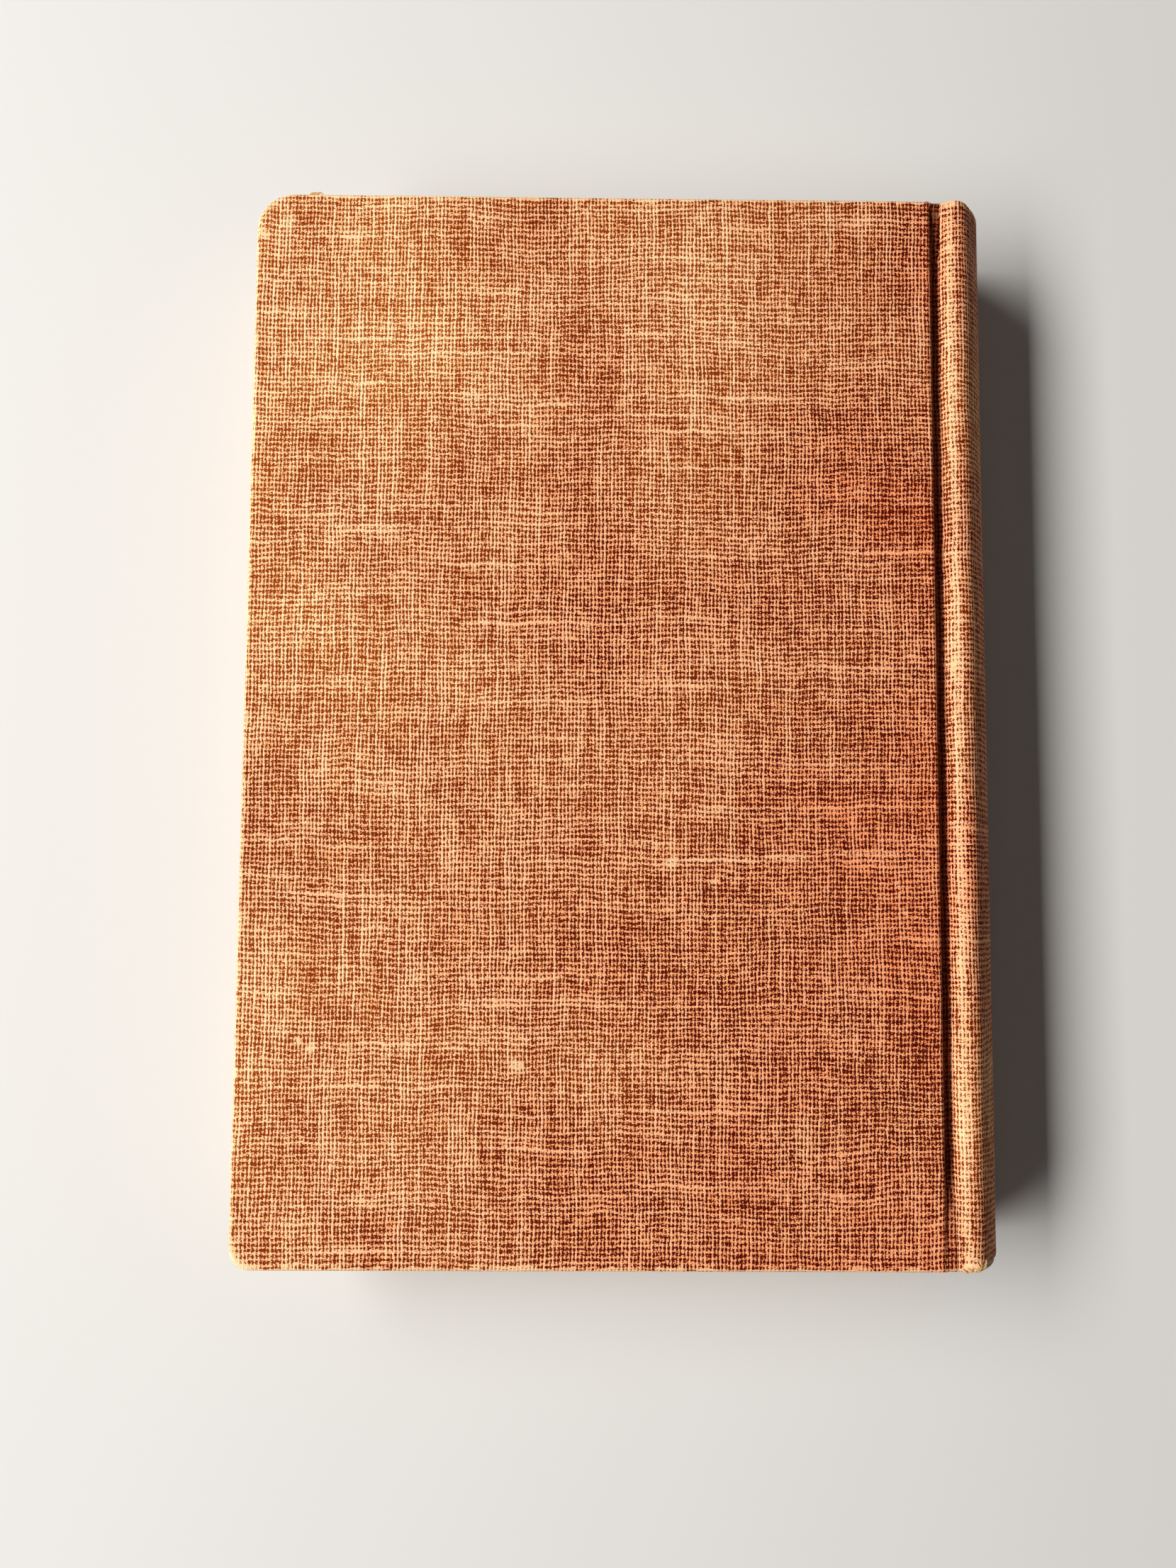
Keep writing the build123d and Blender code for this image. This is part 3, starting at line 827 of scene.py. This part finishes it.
def map_cover(bm, mirrored):
    """Lays the cloth's flat measure on a cover: the turned-over edges carry on past the fold."""
    top = CASE_THICKNESS
    layer = bm.loops.layers.uv.new(CLOTH_MAP)
    for face in bm.faces:
        middle = face.calc_center_median()
        turned_under = middle.z < top - COVER_THICKNESS / 2
        to_fore = middle.x - FORE_EDGE_X
        to_end = CASE_HALF_HEIGHT - abs(middle.y)
        to_groove = GROOVE_X - middle.x
        end = 1 if middle.y > 0 else -1
        for loop in face.loops:
            x, y, z = loop.vert.co
            depth = top - z
            if to_groove < min(to_fore, to_end) and not turned_under:
                u, v = x + depth, y
            elif to_fore < to_end:
                u, v = (2 * FORE_EDGE_X - x - depth if turned_under else x - depth), y
            else:
                u, v = x, (end * (2 * CASE_HALF_HEIGHT + depth) - y if turned_under else y + end * depth)
            loop[layer].uv = (2 * MID_SPINE_U - u if mirrored else u, v)


def paper_sheet(name, side, low_x, high_x, z, steps):
    """One leaf of endpaper, its lower face at a height."""
    bm = bmesh.new()
    bmesh.ops.create_grid(bm, x_segments=steps, y_segments=12, size=0.5)
    bmesh.ops.scale(bm, vec=(high_x - low_x, 2 * BLOCK_HALF_HEIGHT, 1), verts=bm.verts)
    bmesh.ops.translate(bm, vec=((low_x + high_x) / 2, 0, z + PAPER), verts=bm.verts)
    if side == "front":
        turn_over(bm)
    return to_object(bm, name, endpaper_finish, PAPER)


def endpapers(side):
    """A free endpaper, the strip from it to the cover, and the half pasted on the cover."""
    top = RIDGE_Z
    leaf = paper_sheet(side + "_free_endpaper", side, BLOCK_FORE_X, FOLD_X, top, 30)
    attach(leaf, "book_block")
    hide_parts(side + "_flyleaf")
    strip = paper_sheet(side + "_hinge_paper", side, COVER_SEAM_X, FOLD_X, top + PAPER, 20)
    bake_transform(strip)
    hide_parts(side + "_flyleaf")
    pasted_leaf(side)


def pasted_leaf(side):
    """The endpaper pasted on a cover: it sinks gently on to the board inside the turn-ins and the gauze."""
    low_x = FORE_EDGE_X + TURN_IN
    high_x = GROOVE_X - GAUZE_FLAP
    half_height = CASE_HALF_HEIGHT - TURN_IN
    bm = bmesh.new()
    bmesh.ops.create_grid(bm, x_segments=1, y_segments=1, size=0.5)
    bmesh.ops.scale(bm, vec=(COVER_SEAM_X - BLOCK_FORE_X, 2 * BLOCK_HALF_HEIGHT, 1), verts=bm.verts)
    middle_x = (BLOCK_FORE_X + COVER_SEAM_X) / 2
    bmesh.ops.translate(bm, vec=(middle_x, 0, CASE_THICKNESS - COVER_THICKNESS), verts=bm.verts)
    for step in range(-1, 8):
        inset = PASTED_SLOPE * step / 6
        cuts = [((x, 0, 0), (1, 0, 0)) for x in (low_x + inset, high_x - inset)]
        cuts += [((0, y, 0), (0, 1, 0)) for y in (half_height - inset, inset - half_height)]
        for place, normal in cuts:
            cut_through(bm, place, normal)
    for vert in bm.verts:
        inward = min(vert.co.x - low_x, high_x - vert.co.x, half_height - abs(vert.co.y)) / PASTED_SLOPE
        share = min(1.0, max(0.0, inward))
        vert.co.z += CLOTH * share * share * (3 - 2 * share)
    if side == "front":
        turn_over(bm)
    piece = to_object(bm, side + "_pasted_endpaper", endpaper_finish, PAPER)
    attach(piece, side + "_cover")
    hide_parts(side + "_pastedown")


def leaf_block():
    """The pages as one block, hollow at the fore-edge, with every other leaf's edge a little proud."""
    draw = Random(11)
    bm = bmesh.new()
    half_turn = degrees(asin(BLOCK_HALF / PAGES_BACK))
    hollow_x = BLOCK_FORE_X - sqrt(PAGES_BACK ** 2 - BLOCK_HALF ** 2)
    first = bm.verts.new((BLOCK_FORE_X, -BLOCK_HALF_HEIGHT, MID_Z - BLOCK_HALF))
    at = arc(bm, first, hollow_x, MID_Z, -2 * half_turn, LEAVES)
    bm.verts.ensure_lookup_table()
    heights = [vert.co.z for vert in bm.verts[1:-1]]
    at = line(bm, at, RIDGE_X - SHOULDER_RADIUS, MID_Z + BLOCK_HALF)
    at = arc(bm, at, RIDGE_X, MID_Z + BLOCK_HALF, 180 - SHOULDER_TURN, 8)
    at = arc(bm, at, BACK_X, MID_Z, 2 * SHOULDER_TURN, 24)
    at = arc(bm, at, RIDGE_X, MID_Z - BLOCK_HALF, 180 - SHOULDER_TURN, 8)
    bm.edges.new((at, first))
    bmesh.ops.contextual_create(bm, geom=bm.edges[:])
    pushed = bmesh.ops.extrude_face_region(bm, geom=bm.faces[:], use_keep_orig=True)
    far_end = [part for part in pushed["geom"] if isinstance(part, bmesh.types.BMVert)]
    bmesh.ops.translate(bm, vec=(0, 2 * BLOCK_HALF_HEIGHT, 0), verts=far_end)
    bmesh.ops.recalc_face_normals(bm, faces=bm.faces)
    for height in heights:
        ends = [face for face in bm.faces if abs(face.normal.y) > LEAF_END]
        cut_through(bm, (0, 0, height), (0, 0, 1), ends)
    edges_of_leaf = [[] for leaf in range(LEAVES)]
    for face in bm.faces:
        middle = face.calc_center_median()
        if abs(face.normal.y) > LEAF_END or middle.x < BLOCK_FORE_X + 5 and abs(face.normal.z) < 0.8:
            edges_of_leaf[sum(height < middle.z for height in heights)].append(face)
    for leaf, cut_faces in enumerate(edges_of_leaf):
        reach = draw.uniform(0.02, 0.14) if leaf % 2 else -draw.uniform(0.0, 0.06)
        if leaf % GATHERING == 0:
            reach = -0.16
        for face in bmesh.ops.extrude_discrete_faces(bm, faces=cut_faces)["faces"]:
            bmesh.ops.translate(bm, vec=face.normal * reach, verts=face.verts)
    piece = to_object(bm, "leaf_block", leaf_edge_finish)
    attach(piece, "book_block")
    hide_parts("text_block")


def sewn_band(name, end):
    """A head or tail band: thread wound round a core that follows the pages' back, sewn on a tape."""
    bm = bmesh.new()
    tape = [(0.0, 0.0), (TAPE, 0.0), (TAPE, -TAPE_DEPTH), (0.0, -TAPE_DEPTH)]
    corners = [bm.verts.new((PAGES_BACK + out, end * (BLOCK_HALF_HEIGHT + up), 0)) for out, up in tape]
    tape_edges = [bm.edges.new((corners[k], corners[k - 1])) for k in range(4)]
    ring = bmesh.ops.create_circle(bm, cap_ends=False, segments=BAND_SIDES, radius=BAND_CORE)["verts"]
    bmesh.ops.translate(bm, vec=(PAGES_BACK - 0.6, end * (BLOCK_HALF_HEIGHT + BAND_CORE), 0), verts=ring)
    to_one_side = Matrix.Rotation(radians(-SHOULDER_TURN), 3, "Y")
    bmesh.ops.rotate(bm, cent=(0, 0, 0), matrix=to_one_side, verts=bm.verts)
    bmesh.ops.translate(bm, vec=(BACK_X, 0, MID_Z), verts=bm.verts)
    around = {"cent": (BACK_X, 0, MID_Z), "axis": (0, 1, 0), "dvec": (0, 0, 0)}
    around["angle"] = radians(2 * SHOULDER_TURN)
    bmesh.ops.spin(bm, geom=tape_edges, steps=24, **around)
    ring_edges = list({edge for vert in ring for edge in vert.link_edges})
    first = len(bm.verts)
    bmesh.ops.spin(bm, geom=ring_edges, steps=BAND_TURNS * 2, **around)
    bm.verts.ensure_lookup_table()
    wound = {vert: (0.0, 0.22 * k) for k, vert in enumerate(ring)}
    for turn in range(BAND_TURNS * 2):
        loop = bm.verts[first + turn * BAND_SIDES:first + (turn + 1) * BAND_SIDES]
        centre = sum((vert.co for vert in loop), Vector()) / BAND_SIDES
        swell = 1.05 if turn % 2 else 0.9
        bmesh.ops.scale(bm, vec=(swell, swell, swell), space=Matrix.Translation(-centre), verts=loop)
        wound.update({vert: (BAND_THREAD / 2 * (turn + 1), 0.22 * k) for k, vert in enumerate(loop)})
    bmesh.ops.holes_fill(bm, edges=[edge for edge in bm.edges if edge.is_boundary], sides=0)
    bmesh.ops.recalc_face_normals(bm, faces=bm.faces)
    layer = bm.loops.layers.uv.new(CLOTH_MAP)
    for face in bm.faces:
        for corner in face.loops:
            corner[layer].uv = wound.get(corner.vert, (3.0, 0.0))
    piece = to_object(bm, name + "_thread", band_finish)
    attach(piece, "book_block")
    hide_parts(name)


# Blender's own start-up lamp and camera are not wanted
for old in [o for o in bpy.data.objects if o.type in ("LIGHT", "CAMERA")]:
    bpy.data.objects.remove(old)

cover_skin("back_cover_cloth", "back", WORN_HEAD_CORNER, WORN_TAIL_CORNER)
cover_skin("front_cover_cloth", "front", SOUND_CORNER, SOUND_CORNER)
spine_half("spine_cloth_back_half", "back")
spine_half("spine_cloth_front_half", "front")
frayed_edges()
joint_gauze("back_joint_gauze", "back")
joint_gauze("front_joint_gauze", "front")
endpapers("back")
endpapers("front")
leaf_block()
sewn_band("head_band", 1)
sewn_band("tail_band", -1)

for name, finish in (
    ("back_board", board_finish),
    ("front_board", board_finish),
    ("back_mull_flap", gauze_finish),
    ("front_mull_flap", gauze_finish),
    ("spine_lining", kraft_finish),
    ("spine_inlay", card_finish),
):
    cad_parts[name].data.materials.clear()
    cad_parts[name].data.materials.append(finish)


# A plain pale floor, a long soft lamp on the left and a weak even sky that looks brighter than it lights.
# Lengths are in metres from here on.
FLOOR_HALF = 0.6
LAMP_DISTANCE = 1.1
LAMP_ELEVATION = radians(44)
LAMP_Y = 0.03
LAMP_AIM_Z = 0.02
LAMP_WIDTH = 0.34
LAMP_LENGTH = 1.6
LAMP_POWER = 8.9
LAMP_SPREAD = radians(100)
SKY_LIGHT = 0.06
SKY_SEEN = 0.72

floor_finish, _, _ = new_material("pale_floor", **{"Base Color": linear("#d9d6d1"), "Roughness": 0.9})
floor_bm = bmesh.new()
bmesh.ops.create_grid(floor_bm, x_segments=1, y_segments=1, size=FLOOR_HALF)
floor_mesh = bpy.data.meshes.new("floor")
floor_bm.to_mesh(floor_mesh)
floor_bm.free()
floor_mesh.materials.append(floor_finish)
floor = bpy.data.objects.new("floor", floor_mesh)
bpy.context.scene.collection.objects.link(floor)

lamp_data = bpy.data.lights.new("window_lamp", "AREA")
lamp_data.shape = "RECTANGLE"
lamp_data.size = LAMP_WIDTH
lamp_data.size_y = LAMP_LENGTH
lamp_data.energy = LAMP_POWER
lamp_data.spread = LAMP_SPREAD
lamp = bpy.data.objects.new("window_lamp", lamp_data)
lamp_z = LAMP_DISTANCE * sin(LAMP_ELEVATION) + LAMP_AIM_Z
lamp.location = (-LAMP_DISTANCE * cos(LAMP_ELEVATION), LAMP_Y, lamp_z)
lamp.rotation_euler = (0.0, -(pi / 2 - LAMP_ELEVATION), 0.0)
bpy.context.scene.collection.objects.link(lamp)

world = bpy.data.worlds.new("soft_sky")
world.use_nodes = True
sky = world.node_tree
rays = node(sky, "LightPath")
shown = 0.0
for kind in ("Is Camera Ray", "Is Glossy Ray", "Is Transmission Ray"):
    shown = node(sky, "Math", rays.outputs[kind], shown, operation="MAXIMUM")
strength = node(sky, "MapRange", shown, 0.0, 1.0, SKY_LIGHT, SKY_SEEN)
sky.nodes["Background"].inputs["Color"].default_value = (1.0, 1.0, 1.0, 1.0)
sky.links.new(strength.outputs["Result"], sky.nodes["Background"].inputs["Strength"])
bpy.context.scene.world = world

# The camera hangs over the tail half of the cover and looks almost straight down
PHOTO_FOCAL = 1662  # pixels, as is the height
PHOTO_HEIGHT = 2212
camera_data = bpy.data.cameras.new("camera")
camera_data.sensor_width = 36.0
camera_data.lens = camera_data.sensor_width * PHOTO_FOCAL / PHOTO_HEIGHT
camera_data.clip_start = 0.01
camera = bpy.data.objects.new("camera", camera_data)
camera.location = (-0.0094, -0.0306, 0.2537)
camera.rotation_euler = (radians(4.365), radians(-0.613), radians(0.355))
bpy.context.scene.collection.objects.link(camera)
bpy.context.scene.camera = camera
bpy.context.scene.view_settings.view_transform = "Standard"
